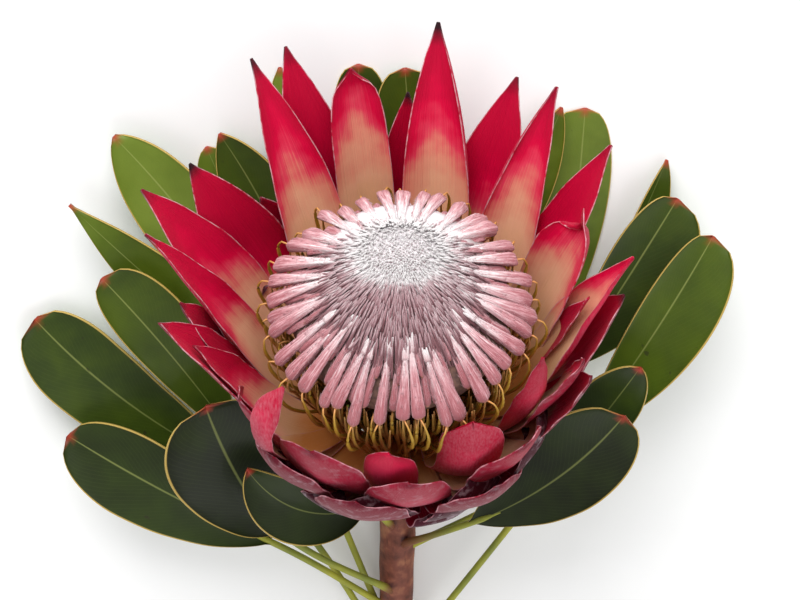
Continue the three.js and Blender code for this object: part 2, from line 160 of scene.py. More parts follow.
# Bark: smooth, matt and mottled every 6 mm or so, with fine lengthwise cracks; it gives a dull, warm brown.
bark, tree, shader = finish_of("reddish bark", {"Roughness": 0.62, "Specular IOR Level": 0.35})
names = ("young", "cut", "scar")
young, cut, scar = [add(tree, "Attribute", attribute_name=name, out="Fac") for name in names]
where = add(tree, "TexCoord", out="Object")
mottle = add(tree, "TexNoise", {"Vector": where, "Scale": 1000 / 6, "Detail": 4})
colour = add(tree, "ValToRGB", {0: mottle}, [(0.3, "#542A1E"), (0.5, "#784030"), (0.68, "#986044")])
young = add(tree, "Math", {0: mottle, 1: 0.5, 2: young}, operation="MULTIPLY_ADD")
young = add(tree, "MapRange", {0: young, 1: 0.75, 2: 1.35})
colour = add(tree, "Mix", {0: young, 6: colour, 7: "#8C8A4A"}, data_type="RGBA", out=2)
lengthwise = add(tree, "Mapping", {"Vector": where, "Scale": (1.0, 0.12, 1.0)})
cracks = add(tree, "TexNoise", {"Vector": lengthwise, "Scale": 1000 / 1.2, "Detail": 4})
cracked = add(tree, "MapRange", {0: cracks, 1: 0.62, 2: 0.75})
colour = add(tree, "Mix", {0: cracked, 6: colour, 7: "#5A2E24"}, data_type="RGBA", out=2)
colour = add(tree, "Mix", {0: scar, 6: colour, 7: "#3C1412"}, data_type="RGBA", out=2)
rings = [(0.0, "#7A5A3C"), (0.16, "#8E6F48"), (0.22, "#D8C79A"), (0.8, "#C9BC86"), (0.9, "#7E8A48")]
wood = add(tree, "ValToRGB", {0: cut}, rings)
sawn = add(tree, "MapRange", {0: cut, 1: 0.0, 2: 0.01})
colour = add(tree, "Mix", {0: sawn, 6: colour, 7: wood}, data_type="RGBA", out=2)
tree.links.new(colour, shader.inputs["Base Color"])
relief = add(tree, "Bump", {"Height": cracks, "Distance": 0.25 / 1000})
tree.links.new(relief, shader.inputs["Normal"])

STEM_STEPS = 150
STEM_SIDES = 40
t = np.linspace(0, 1, STEM_STEPS + 1)
place, way = bezier(STEM_LINE, t)
top = [NECK + height * HEAD_AXIS for height, _ in RECEPTACLE]
place = np.vstack([place, top])
way = np.vstack([way, np.tile(HEAD_AXIS, (len(top), 1))])
radii = np.concatenate([mix(*STEM_RADII, t), [radius for _, radius in RECEPTACLE]])
turn = np.linspace(0, 2 * math.pi, STEM_SIDES, endpoint=False)
travel = np.arange(len(place))[:, None]
lumps = np.sin(3 * turn + travel / 9) * np.sin(travel / 6.1) + np.sin(2 * turn - travel / 14 + 1)
lumps = lumps * BARK_LUMP * smooth(0, 8, travel) * (travel < STEM_STEPS)
young_wood = smooth(60, STEM_STEPS, travel[:, 0])
shoot = tube(place, way, radii[:, None] + lumps, STEM_SIDES, young=young_wood, cut=0.0, scar=0.0)


def stem_point(distance, across=0.0, above=0.0):
    """A point of the stem at a distance from the neck along it, and the stem's direction there."""
    place, way = bezier(STEM_LINE, np.linspace(1, 0, 400))
    travelled = np.concatenate([[0], np.cumsum(np.linalg.norm(np.diff(place, axis=0), axis=1))])
    k = int(np.searchsorted(travelled, distance))
    side = unit(np.cross(way[k], UP))
    return place[k] + across * side + above * np.cross(side, way[k]), way[k]


# The cushions under the stalks swell the bark, and each has a dark scar on its upper side.
for distance, across in STALK_NODES:
    cushion, along = stem_point(distance, across, CUSHION_ABOVE)
    off = np.linalg.norm(shoot[0] - cushion, axis=1)
    middle, _ = stem_point(distance)
    shoot[0][:] += CUSHION_SWELL * np.exp(-((off / CUSHION_SIZE) ** 2))[:, None] * unit(cushion - middle)
    off = np.linalg.norm(shoot[0] - cushion - SCAR_AHEAD * along, axis=1)
    shoot[2]["scar"] = shoot[2]["scar"] + smooth(2.8, 1.4, off)

# The sawn end: a slightly domed disc with pith, pale wood and a green ring under the bark.
CUT_RINGS = 8
shares = np.linspace(0.98, 0.04, CUT_RINGS)
end = place[0] - 0.05 * way[0] - (1 - shares[:, None] ** 2) * 0.35 * way[0]
outwards = np.tile(way[0], (CUT_RINGS, 1))
disc = tube(end[::-1], outwards, shares[::-1] * radii[0], STEM_SIDES, young=0.0, cut=1.0, scar=0.0)
disc[2]["cut"] = np.repeat(shares[::-1], STEM_SIDES) * 0.95 + 0.02
grow("stem_bark", [shoot, disc], bark, "stem", "stem")

# --- The leaves -----------------------------------------------------------------------------------
# Leathery, waxy blades grown on long olive stalks that are brown where they leave the stem. The blade has a horny
# yellow margin, a red point and a fine pale midrib. The lowest leaves are pressed flat on the table.

# along: from the neck down the stem to the stalk, or node: its number in STALK_NODES. base, tip: the blade's ends,
# from FOOT. left, right: its half widths. point: how fast it narrows. face: where it looks. cup: its halves' curl,
# in radians. arch, sway: how far the midrib bows towards the face and to its left. wave: of the margins. dip: how
# far the stalk hangs. green_and_shade: from 0, dark and greyish, to 1, light; partly the leaf's own tone and partly
# painted shade, as the leaves on the -y side, away from the key light, are given low values. brown: how far up its
# stalk the bark's colour runs.
USUAL_LEAF = {"point": 0.42, "face": (0, 0, 1), "cup": 0.3, "arch": 4, "sway": 0, "dip": 0, "brown": 7}
PRESSED = {"arch": -2, "cup": 0.04, "wave": 0}  # flat on the table
LIMP = {"arch": 0, "cup": 0.2, "wave": 0}  # lying on the leaves beside it
LEAVES = [
    dict(along=14, base=(-12, 50, 2.2), tip=(-17, 135, 0), left=12, right=12, **PRESSED, dip=8, green_and_shade=0.35),
    dict(along=19, base=(8, 50, 4), tip=(2, 135, 5), left=14, right=14, **LIMP, dip=6, green_and_shade=0.45),
    dict(along=23, base=(-34, 46, 3), tip=(-49, 134, 1.5), left=12, right=12, point=0.8, **LIMP, green_and_shade=1),
    dict(along=32, base=(72, 24, 2.2), tip=(76, 116, 0), left=17, right=13, **PRESSED, green_and_shade=0.75),
    dict(along=26, base=(38, 44, 4.5), tip=(66, 118, 5), left=10, right=10, point=0.8, arch=2, wave=0, green_and_shade=0.6),
    dict(
        along=32, base=(-42, 34, 5.5), tip=(-74, 107, 6),
        left=15, right=14, point=0.8, arch=0, sway=-4, wave=0, green_and_shade=0.4,
    ),
    dict(along=40, base=(-52, 26, 2.2), tip=(-80, 99, 0), left=12, right=12, point=0.6, **PRESSED, green_and_shade=0.8),
    dict(
        along=48, base=(-62, 24, 11), tip=(-117, 107, 9),
        left=18, right=15.5, point=0.7, face=(0.1, 0, 1), sway=-6, green_and_shade=0.8,
    ),
    dict(
        along=140, base=(-70, 14, 17), tip=(-136, 79, 15),
        left=10, right=13, point=1.2, face=(0, 0.1, 1), dip=6, green_and_shade=0.6,
    ),
    dict(
        along=56, base=(-70, -24, 26), tip=(-123, 51, 26),
        left=11.5, right=18, face=(0.2, 0.1, 1), arch=5, sway=-3, green_and_shade=0.45,
    ),
    dict(along=150, base=(-70, -45, 13), tip=(-155, 23, 6), left=21, right=19.5, arch=2, sway=7, dip=3, green_and_shade=0.35),
    dict(
        along=124, base=(-56, -75, 25), tip=(-142, -25, 21),
        left=19.5, right=19, point=0.5, face=(0.1, 0.1, 1), arch=8, green_and_shade=0.18,
    ),
    dict(
        node=2, base=(-53, -64, 36), tip=(-80, 4, 50),
        left=26, right=26, face=(0.2, 0.4, 1), arch=6, sway=4, green_and_shade=0.03,
    ),
    dict(
        node=0, base=(-15, -52, 36), tip=(-63, -20, 60),
        left=15, right=11, point=0.75, face=(0, 0.5, 1), sway=12, green_and_shade=0.12,
    ),
    dict(
        node=1, base=(30, -56, 42), tip=(91, 6, 62),
        left=21, right=18, face=(0.1, 0.4, 1), arch=6, sway=-6, brown=30, green_and_shade=0.08,
    ),
    dict(
        along=92, base=(70, -30, 34), tip=(98, 22, 50),
        left=14, right=11.5, point=0.6, face=(0.1, 0.4, 1), green_and_shade=0.25,
    ),
    dict(
        along=156, base=(76, -24, 26), tip=(128, 70, 26),
        left=11, right=20, face=(-0.2, 0.2, 1), arch=8, sway=-2, green_and_shade=0.5,
    ),
    dict(along=50, base=(72, 4, 14), tip=(114, 82, 15), left=12, right=21, face=(-0.2, 0.1, 1), arch=6, green_and_shade=0.35),
    dict(along=41, base=(82, 18, 5), tip=(110, 95, 5), left=3, right=11, point=0.8, arch=0, wave=0, green_and_shade=0.5),
]
LEAF_THICKNESS = 0.9
LEAF_RIM = 1.25  # the horny margin is this many times as thick
LEAF_ROWS = 40
BLADE_COLUMNS = 22
STALK_RADIUS = 1.5
STALK_FOOT = 2.3  # its radius where it leaves the stem
STALK_STEPS = 25
STALK_SIDES = 12
TIP_HALF_WIDTH = 0.5

ACROSS = np.sin(np.linspace(math.pi / 2, -math.pi / 2, BLADE_COLUMNS + 1))  # 1 at the left margin, -1 at the right


def blade(place, way, face, left, right, thickness, bend, lift=0.0, turn=0.0, **marks):
    """A closed thin sheet along its midrib. left, right: half widths by row; bend: the section's angle at each row
    and column; thickness and lift may differ by row and column too."""
    rows = len(left)
    side = unit(np.cross(face, way))
    up = np.cross(way, side)
    turn = np.broadcast_to(turn, rows)[:, None]
    side, up = side * np.cos(turn) + up * np.sin(turn), up * np.cos(turn) - side * np.sin(turn)
    bend = np.broadcast_to(bend, (rows, BLADE_COLUMNS + 1))
    middle = (bend[:, 1:] + bend[:, :-1]) / 2
    gaps = np.diff(ACROSS)
    start = np.zeros((rows, 1))
    x = np.hstack([start, np.cumsum(np.cos(middle) * gaps, axis=1)])
    z = np.hstack([start, np.cumsum(np.sin(middle) * gaps, axis=1)])
    centre = BLADE_COLUMNS // 2
    x = x - x[:, [centre]]
    z = z - z[:, [centre]]
    reach = np.where(ACROSS > 0, x.max(axis=1, keepdims=True), -x.min(axis=1, keepdims=True))
    half = np.where(ACROSS > 0, left[:, None], right[:, None]) / reach
    x = x * half
    z = z * half + lift
    sheet = place[:, None] + x[..., None] * side[:, None] + z[..., None] * up[:, None]
    out = np.cos(bend)[..., None] * up[:, None] - np.sin(bend)[..., None] * side[:, None]
    offset = out * np.broadcast_to(thickness, bend.shape)[..., None] / 2
    points = np.concatenate([sheet + offset, (sheet - offset)[:, ::-1]], axis=1)
    count = points.shape[1]
    j = np.arange(count)
    k = (j + 1) % count
    first = np.arange(rows - 1)[:, None] * count
    faces = np.stack([first + j, first + k, first + count + k, first + count + j], -1).reshape(-1, 4).tolist()
    last = (rows - 1) * count
    for c in range(BLADE_COLUMNS):
        under = count - 1 - c
        faces += [[under, under - 1, c + 1, c], [last + c, last + c + 1, last + under - 1, last + under]]
    marks = {name: np.full(rows * count, float(value)) for name, value in marks.items()}
    marks["along"] = np.repeat(np.linspace(0, 1, rows), count)
    marks["across"] = np.tile(np.concatenate([ACROSS, ACROSS[::-1]]), rows)
    marks["inner"] = np.tile(np.repeat([1.0, 0.0], BLADE_COLUMNS + 1), rows)
    return points.reshape(-1, 3), faces, marks


def leaf_half(t, half, point):
    """Half width along a leaf: a long wedge, widest past the middle, then round or pointed."""
    rise = 0.85
    widest = rise / (rise + point)
    share = t**rise * (1 - t) ** point / (widest**rise * (1 - widest) ** point)
    return np.maximum(half * share, np.where(t < 0.5, STALK_RADIUS * 0.8, TIP_HALF_WIDTH))


def leaf_parts(leaf, number):
    """A blade and its stalk."""
    leaf = {**USUAL_LEAF, **leaf}
    base, tip = np.array(leaf["base"], float), np.array(leaf["tip"], float)
    look = unit(np.array(leaf["face"], float))
    run = tip - base
    bow = look * leaf["arch"] + unit(np.cross(look, run)) * leaf["sway"]
    midrib = [base, base + run * 0.33 + bow, base + run * 0.67 + bow, tip]
    t = np.linspace(0, 1, LEAF_ROWS + 1)
    s = ACROSS[None]
    left, right = [leaf_half(t, leaf[side], leaf["point"]) for side in ("left", "right")]
    wave = leaf.get("wave", leaf["left"] * 0.07)
    phase = np.where(s > 0, 0.1, 0.55)
    lift = wave * s**2 * np.sin(2 * math.pi * (1.25 * t[:, None] + phase))
    lift = lift + 0.15 * wave * s**4 * np.sin(2 * math.pi * (4.3 * t[:, None] + phase + 0.37 * number))
    margin = smooth(0.93, 0.99, abs(s))
    rim = mix(1.0, LEAF_RIM, margin) - 0.3 * smooth(0.5, 0.9, abs(s)) * (1 - margin)
    rib = 1 + 0.9 * (1 - t[:, None]) * np.exp(-((s / 0.06) ** 2))
    place, way = bezier(midrib, t)
    thickness = LEAF_THICKNESS * rim * rib
    looks = dict(green_and_shade=leaf["green_and_shade"], stalk=0, tip=0, foot=0)
    sheet = blade(place, way, look, left, right, thickness, leaf["cup"] * s, lift, **looks)
    if "node" in leaf:
        root, _ = stem_point(*STALK_NODES[leaf["node"]], CUSHION_ABOVE)
    else:
        root, _ = stem_point(leaf["along"])
    reach = np.linalg.norm(base - root)
    entry = unit(midrib[1] - midrib[0])
    sag = UP * (reach * 0.02 - leaf["dip"])
    line = [root, mix(root, base, 0.35) + sag, base - entry * reach * 0.3, base + entry * leaf["left"] * 0.8]
    travelled = np.linspace(0, 1, STALK_STEPS + 1)
    place, way = bezier(line, travelled)
    thick = mix(STALK_RADIUS, 0.45, smooth(0.86, 1, travelled))
    thick += (STALK_FOOT - STALK_RADIUS) * np.exp(-travelled * reach / 5)
    foot = smooth(leaf["brown"], 1, travelled * reach)
    looks = dict(along=0.0, across=0.3, inner=1.0, green_and_shade=leaf["green_and_shade"], stalk=1.0, tip=0.0, foot=foot)
    stalk = tube(place, way, thick, STALK_SIDES, **looks)
    sheet[2]["tip"] = smooth(3.6, 1.2, np.linalg.norm(sheet[0] - tip, axis=1))
    # Nothing reaches under the table top, and a pressed blade lies on it at its full thickness.
    for points, _, _ in (sheet, stalk):
        points[:, 2] = np.maximum(points[:, 2], 0.0)
    if leaf["cup"] == PRESSED["cup"]:
        upper = sheet[2]["inner"] > 0.5
        sheet[0][upper, 2] = np.maximum(sheet[0][upper, 2], LEAF_THICKNESS)
    return [sheet, stalk]


# Leaf skin: waxy and smooth, so it has a soft satin shine; the blade is dull green with a mealy bloom.
leaf_skin, tree, shader = finish_of("waxy leaf", {"Specular IOR Level": 0.2, "Coat Weight": 0.03})
names = ("along", "across", "inner", "tip", "green_and_shade", "stalk", "foot")
attributes = [add(tree, "Attribute", attribute_name=name, out="Fac") for name in names]
along, across, inner, tip, green_and_shade, stalk, foot = attributes
edge = add(tree, "Math", {0: across}, operation="ABSOLUTE")
where = add(tree, "TexCoord", out="Object")
patches = add(tree, "TexNoise", {"Vector": where, "Scale": 1000 / 22, "Detail": 4})
pores = add(tree, "TexNoise", {"Vector": where, "Scale": 1000 / 0.9, "Detail": 4})
# Partly painted shade: each leaf's own value also darkens the blades at the front, away from the key light, besides
# their own tone.
shade = add(tree, "Math", {0: patches, 1: 0.5, 2: green_and_shade}, operation="MULTIPLY_ADD")
greens = [(0.25, "#1A200F"), (0.55, "#2C3A10"), (0.85, "#48590F"), (1.0, "#5A6C1E")]
colour = add(tree, "ValToRGB", {0: shade}, greens)
light = add(tree, "MapRange", {0: shade, 1: 0.95, 2: 1.3})
colour = add(tree, "Mix", {0: light, 6: colour, 7: "#73862F"}, data_type="RGBA", out=2)
# The side veins leave the midrib every 3 mm and run forward; faint, and a little uneven.
ways = add(tree, "Math", {0: edge, 1: -10.0, 2: patches}, operation="MULTIPLY_ADD")
ways = add(tree, "Math", {0: along, 1: 30.0, 2: ways}, operation="MULTIPLY_ADD")
ways = add(tree, "Math", {0: ways, 1: 0.5}, operation="PINGPONG")
veins = add(tree, "MapRange", {0: ways, 1: 0.1, 2: 0.0, 4: 0.035})
colour = add(tree, "Mix", {0: veins, 6: colour, 7: "#8C9A55"}, data_type="RGBA", out=2)
rib = add(tree, "MapRange", {0: edge, 1: 0.03, 2: 0.01, 4: 0.4})
colour = add(tree, "Mix", {0: rib, 6: colour, 7: "#9AA25C"}, data_type="RGBA", out=2)
under = add(tree, "MapRange", {0: inner, 1: 0.6, 2: 0.4})
colour = add(tree, "Mix", {0: under, 6: colour, 7: "#6F8A4A"}, data_type="RGBA", out=2)
margin = add(tree, "MapRange", {0: edge, 1: 0.965, 2: 0.985})
colour = add(tree, "Mix", {0: margin, 6: colour, 7: "#B89C52"}, data_type="RGBA", out=2)
colour = add(tree, "Mix", {0: tip, 6: colour, 7: "#A0382A"}, data_type="RGBA", out=2)
olive = add(tree, "ValToRGB", {0: patches}, [(0.35, "#7E8638"), (0.65, "#A8A63A")])
colour = add(tree, "Mix", {0: stalk, 6: colour, 7: olive}, data_type="RGBA", out=2)
colour = add(tree, "Mix", {0: foot, 6: colour, 7: "#74432E"}, data_type="RGBA", out=2)
specks = add(tree, "TexNoise", {"Vector": where, "Scale": 1000 / 5, "Detail": 1})
specks = add(tree, "MapRange", {0: specks, 1: 0.76, 2: 0.8, 4: 0.6})
colour = add(tree, "Mix", {0: specks, 6: colour, 7: "#2A2418"}, data_type="RGBA", out=2)
tree.links.new(colour, shader.inputs["Base Color"])
tree.links.new(add(tree, "MapRange", {0: patches, 3: 0.36, 4: 0.52}), shader.inputs["Roughness"])
relief = add(tree, "Math", {0: pores, 1: 0.25, 2: veins}, operation="MULTIPLY_ADD")
tree.links.new(add(tree, "Bump", {"Height": relief, "Distance": 0.15 / 1000}), shader.inputs["Normal"])

for i, leaf in enumerate(LEAVES):
    node = f"leaf_{i + 1:02d}"
    grow(f"{node}_blade", leaf_parts(leaf, i), leaf_skin, "leaf", node)

# --- The bracts -----------------------------------------------------------------------------------
# Stiff fleshy petal-like leaves in overlapping whorls round the head, grown to the receptacle's rim. Smooth and
# satin inside, from khaki and cream at the root to crimson, with a dark point; silky hairs cover the outside and rim.

# In the head's own frame: azimuth round it, 0 at the right of the picture and 90 underneath. layer: 0 is the
# innermost whorl. azimuth, reach, rise: the tip's place. root: how many degrees further round it starts. width:
# across it. point: how bluntly it ends. lean: its turn about its midrib. deep_and_painted_light: how far down the
# crimson comes; some bracts that lie in shade are given a lower value, which paints them lighter as painted light.
# left, right: how far the margins roll over, in degrees. dark: how dark its point is. curl: how far its end curls in.
# notch: how deep it is notched. slant: how much further its left half reaches. knee: where its curve is drawn to, if
# not to the usual place.
USUAL_BRACT = dict(root=0, point=2.4, left=20, right=20, dark=0.5, curl=0, notch=0, slant=0)
BRACTS = [
    dict(azimuth=82, root=-14, layer=0, reach=107, rise=125, width=27, point=3, lean=4, deep_and_painted_light=0.01, right=100, dark=1),
    dict(azimuth=122, root=4, layer=0, reach=109, rise=120, width=28, lean=4, deep_and_painted_light=0.02, dark=0.9),
    dict(azimuth=160, root=11, layer=1, reach=104, rise=117, width=36, lean=0, deep_and_painted_light=0.09, dark=0.5),
    dict(azimuth=191, root=12, layer=1, reach=91, rise=110, width=34, lean=4, deep_and_painted_light=0.18),
    dict(azimuth=223, root=-6, layer=0, reach=59, rise=103, width=13, point=7, lean=-4, deep_and_painted_light=0, dark=0, knee=(95, 83)),
    dict(azimuth=266, layer=0, reach=59, rise=84, width=21, lean=-4, point=7, deep_and_painted_light=-0.12, dark=0),
    dict(azimuth=298, layer=0, reach=58, rise=90, width=25, lean=-26, point=9, deep_and_painted_light=0.1, dark=0, notch=5),
    dict(azimuth=332, root=-4, layer=0, reach=60, rise=103, width=18, lean=-30, deep_and_painted_light=0.08, dark=0.2),
    dict(azimuth=6, root=-18, layer=0, reach=88, rise=112, width=24, lean=4, deep_and_painted_light=-0.1, right=150, dark=0),
    dict(azimuth=53, root=-17, layer=0, reach=101, rise=118, width=25, lean=4, deep_and_painted_light=0, left=120, dark=0.4),
    dict(azimuth=102, layer=1, reach=98, rise=118, width=23, lean=4, deep_and_painted_light=-0.06, dark=0, point=8, curl=6, notch=2),
    dict(azimuth=148, root=2, layer=2, reach=95, rise=111, width=40, lean=-10, deep_and_painted_light=0.25, dark=1),
    dict(azimuth=170, root=12, layer=0, reach=97, rise=116, width=19, lean=-4, deep_and_painted_light=0.1, left=80),
    dict(azimuth=210, layer=1, reach=70, rise=80, width=32, lean=4, point=4, deep_and_painted_light=0.2),
    dict(azimuth=240, layer=1, reach=66, rise=82, width=38, lean=6, point=6, deep_and_painted_light=0.1),
    dict(azimuth=273, layer=1, reach=66, rise=72, width=34, lean=0, point=5, deep_and_painted_light=0.1),
    dict(azimuth=312, layer=1, reach=70, rise=76, width=36, lean=-4, point=5, deep_and_painted_light=0.1),
    dict(azimuth=341, layer=1, reach=73, rise=92, width=26, lean=-18, deep_and_painted_light=0.04, left=60, knee=(66, 56)),
    dict(
        azimuth=21, root=-6, layer=0, reach=80, rise=114, width=29,
        lean=4, point=8, deep_and_painted_light=-0.05, dark=0, curl=6, slant=-9,
    ),
    dict(azimuth=63.5, root=-7, layer=1, reach=103, rise=107, width=36, lean=-2, deep_and_painted_light=0.16, dark=0.6),
    dict(azimuth=88, layer=2, reach=92, rise=96, width=28, lean=-4, deep_and_painted_light=0.3, dark=1),
    dict(azimuth=114, layer=2, reach=110, rise=116, width=34, lean=-4, deep_and_painted_light=0.25, dark=0.6),
    dict(azimuth=134, layer=2, reach=80, rise=72, width=36, lean=4, deep_and_painted_light=0.2),
    dict(azimuth=182, root=2, layer=2, reach=83, rise=98, width=30, lean=4, deep_and_painted_light=0.2),
    dict(azimuth=193, root=20, layer=0, reach=80, rise=92, width=24, lean=-4, deep_and_painted_light=0.1),
    dict(azimuth=228, layer=2, reach=72, rise=68, width=38, lean=4, point=4, deep_and_painted_light=0.3),
    dict(azimuth=256, layer=2, reach=69, rise=56, width=38, lean=4, point=4, deep_and_painted_light=0.3),
    dict(azimuth=300, layer=2, reach=72, rise=60, width=38, lean=-4, point=4, deep_and_painted_light=0.3),
    dict(azimuth=341, layer=2, reach=77, rise=80, width=28, lean=4, deep_and_painted_light=0.2, knee=(64, 50)),
    dict(azimuth=1, root=-6, layer=2, reach=85, rise=96, width=36, lean=4, deep_and_painted_light=0.2, dark=0.8),
    dict(azimuth=35, root=-15, layer=1, reach=99, rise=114, width=29, lean=-4, deep_and_painted_light=0.15, dark=0.3),
    dict(azimuth=2, root=7, layer=0, reach=72, rise=92, width=14, lean=0, deep_and_painted_light=0.3, dark=0.1),
]
# The short, round outer scales that close the bowl. start: the first one's azimuth.
SCALE_WHORLS = [
    dict(count=10, start=8, layer=3, reach=61, rise=50, width=36),
    dict(count=8, start=20, layer=4, reach=54, rise=26, width=34),
]
SCALE = dict(lean=6, point=2.2, deep_and_painted_light=0.4)
LAYER_STEP = 2  # how much lower each whorl starts
WHORL_GAP = 2.8  # between the whorls at mid length
BRACT_THICKNESS = 1.1
BRACT_ROWS = 36
HEAD_ACROSS = np.array([1.0, 0.0, 0.0])  # azimuth 0; azimuth 90 faces down
HEAD_DOWN = np.array([0.0, math.sin(HEAD_TILT), -math.cos(HEAD_TILT)])

chance = np.random.default_rng(38)


def in_head(radius, azimuth, height):
    """Points of the head's own frame, from cylinder coordinates with azimuth in radians."""
    radius, azimuth, height = np.broadcast_arrays(radius, azimuth, height)
    out = radius[..., None] * (np.cos(azimuth)[..., None] * HEAD_ACROSS + np.sin(azimuth)[..., None] * HEAD_DOWN)
    return NECK + out + height[..., None] * HEAD_AXIS


def bract_width(t, width, point):
    """Half width along a bract: narrow at the root, widest at mid length, then drawn to a point."""
    root = 0.44
    widest = 0.5
    lower = root + (1 - root) * np.sin(np.clip(t / widest, 0, 1) * math.pi / 2)
    upper = 1 - np.clip((t - widest) / (1 - widest), 0, 1) ** point
    return np.maximum(width / 2 * np.where(t < widest, lower, upper), TIP_HALF_WIDTH)


def bract_part(bract, number):
    """A blade on a curve that rises from the receptacle's rim and opens outwards."""
    bract = {**USUAL_BRACT, **bract}
    sunk = bract["layer"] * LAYER_STEP
    reach, rise = bract["reach"], bract["rise"]
    t = np.linspace(0, 1, BRACT_ROWS + 1)
    azimuth = np.radians(bract["azimuth"] + bract["root"] * (1 - t) ** 1.2)
    knee = bract.get("knee", (62 + sunk * 0.4, max(rise * 0.56, 24)))
    radii = np.array([22.5, 52 - sunk * 0.6, knee[0], reach])
    heights = np.array([13 - sunk, 10 - sunk, knee[1], rise])
    line, _ = bezier(np.stack([radii, heights, 0 * radii], axis=1), t)
    out = in_head(1, azimuth, 0) - NECK
    under = min(bract["layer"], 2) * WHORL_GAP * np.sin(math.pi * t) ** 0.6
    curl = bract["curl"] * smooth(0.88, 1, t) ** 2
    place = in_head(line[:, 0] - curl, azimuth, line[:, 1] - 0.6 * curl)
    place = place + under[:, None] * unit(out - 0.5 * HEAD_AXIS)
    way = unit(np.gradient(place, axis=0))
    face = unit(0.35 * HEAD_AXIS - out[-1])
    s = ACROSS[None]
    half = bract_width(t, bract["width"], bract["point"])
    upper = smooth(0.45, 0.8, t)[:, None]
    rolled = np.where(s > 0, bract["left"], -bract["right"])
    fold = np.radians(rolled) * smooth(0.78, 0.97, abs(s)) * upper
    bend = (0.25 if bract["layer"] else 0.42) * s + 0.2 * np.tanh(s / 0.2) * upper + fold
    ripple = 0.4 * s**2 * np.sin(17 * t[:, None] + 2.4 * number + 1.1 * np.sign(s))
    ripple = ripple + 0.4 * s**4 * np.sin(41 * t[:, None] + 5.1 * number + 2.3 * np.sign(s)) * upper
    thickness = BRACT_THICKNESS * mix(1.0, 0.35, abs(s) ** 3) * np.ones((len(t), 1))
    turn = math.radians(bract["lean"])
    looks = dict(dark=bract["dark"], old=min(bract["layer"], 3) / 3, tone=chance.random())
    part = blade(place, way, face, half, half, thickness, bend, ripple, turn, **looks)
    along, across = part[2]["along"], part[2]["across"]
    lobes = bract["notch"] * (1 - (2 * abs(across) - 1) ** 2) * smooth(0.7, 1, along)
    slant = bract["slant"] * across * smooth(0.7, 1, along)
    part[0][:] = part[0] + (lobes + slant)[:, None] * way[-1]
    # Partly painted light: for some bracts that lie in shade the crimson's reach is set lower, which paints them
    # lighter.
    part[2]["tall"] = along + 0.13 * abs(across) ** 1.6 + bract["deep_and_painted_light"]
    return part


# Bract skin: satin and fleshy; its silky outer hairs give a silver sheen, which is partly painted into the colour as
# pale patches.
bract_skin, tree, shader = finish_of(
    "satin bract", {"Roughness": 0.5, "Specular IOR Level": 0.14, "Sheen Weight": 0.03, "Sheen Roughness": 0.4}
)
names = ("along", "across", "inner", "tall", "tone", "dark", "old")
along, across, inner, tall, tone, dark, old = [add(tree, "Attribute", attribute_name=name, out="Fac") for name in names]
edge = add(tree, "Math", {0: across}, operation="ABSOLUTE")
where = add(tree, "TexCoord", out="Object")
# Fine lengthwise streaks, about 1 mm apart.
streaks = add(tree, "Math", {0: across, 1: 12.0}, operation="MULTIPLY")
streaks = add(tree, "CombineXYZ", {0: streaks, 1: along, 2: tone})
streaks = add(tree, "TexNoise", {"Vector": streaks, "Scale": 2.4, "Detail": 4})
clouds = add(tree, "TexNoise", {"Vector": where, "Scale": 1000 / 14, "Detail": 2})
height = add(tree, "Math", {0: streaks, 1: 0.1, 2: tall}, operation="MULTIPLY_ADD")
height = add(tree, "Math", {0: clouds, 1: 0.2, 2: height}, operation="MULTIPLY_ADD")
height = add(tree, "Math", {0: height, 1: 0.1}, operation="SUBTRACT")
pale = [(0.35, "#D08848"), (0.56, "#E4B084"), (0.7, "#ECB08E"), (0.79, "#E6907A")]
flush = [*pale, (0.86, "#E03C58"), (0.92, "#D4003C"), (1.0, "#BC0032")]
inside = add(tree, "ValToRGB", {0: height}, flush)
ruby = [(0.41, "#6A1028"), (0.71, "#9C1236"), (0.91, "#CC1C44"), (1.0, "#B40C34")]
outside = add(tree, "ValToRGB", {0: height}, ruby)
# The outer hairs: pale silvery-pink patches mixed into the outer colour, partly the hairs' own pale colour and partly
# painted sheen.
silk = add(tree, "Mapping", {"Vector": where, "Scale": (1.0, 0.3, 0.3)})
silk = add(tree, "TexNoise", {"Vector": silk, "Scale": 1000 / 0.7, "Detail": 4})
pale_hair_and_sheen = add(tree, "MapRange", {0: silk, 1: 0.32, 2: 0.95, 4: 0.5})
pale_hair_and_sheen = add(tree, "Math", {0: pale_hair_and_sheen, 1: tone}, operation="MULTIPLY")
flushed = add(tree, "MapRange", {0: edge, 1: 0.7, 2: 0.97, 4: 0.6})
outside = add(tree, "Mix", {0: flushed, 6: outside, 7: "#A40830"}, data_type="RGBA", out=2)
outside = add(tree, "Mix", {0: pale_hair_and_sheen, 6: outside, 7: "#D0929E"}, data_type="RGBA", out=2)
# The outer scales are old: dark wine red, with patches of white bloom.
aged = add(tree, "Math", {0: old, 1: 0.95}, operation="MULTIPLY")
outside = add(tree, "Mix", {0: aged, 6: outside, 7: "#3A0E1E"}, data_type="RGBA", out=2)
patches = add(tree, "TexNoise", {"Vector": where, "Scale": 1000 / 4, "Detail": 4})
bloom = add(tree, "MapRange", {0: patches, 1: 0.52, 2: 0.72, 4: 0.6})
bloom = add(tree, "Math", {0: bloom, 1: aged}, operation="MULTIPLY")
outside = add(tree, "Mix", {0: bloom, 6: outside, 7: "#C4B4BC"}, data_type="RGBA", out=2)
colour = add(tree, "Mix", {0: inner, 6: outside, 7: inside}, data_type="RGBA", out=2)
rim = add(tree, "MapRange", {0: edge, 1: 0.973, 2: 0.99})
worn = add(tree, "MapRange", {0: patches, 1: 0.35, 2: 0.6})
rim = add(tree, "Math", {0: rim, 1: worn}, operation="MULTIPLY")
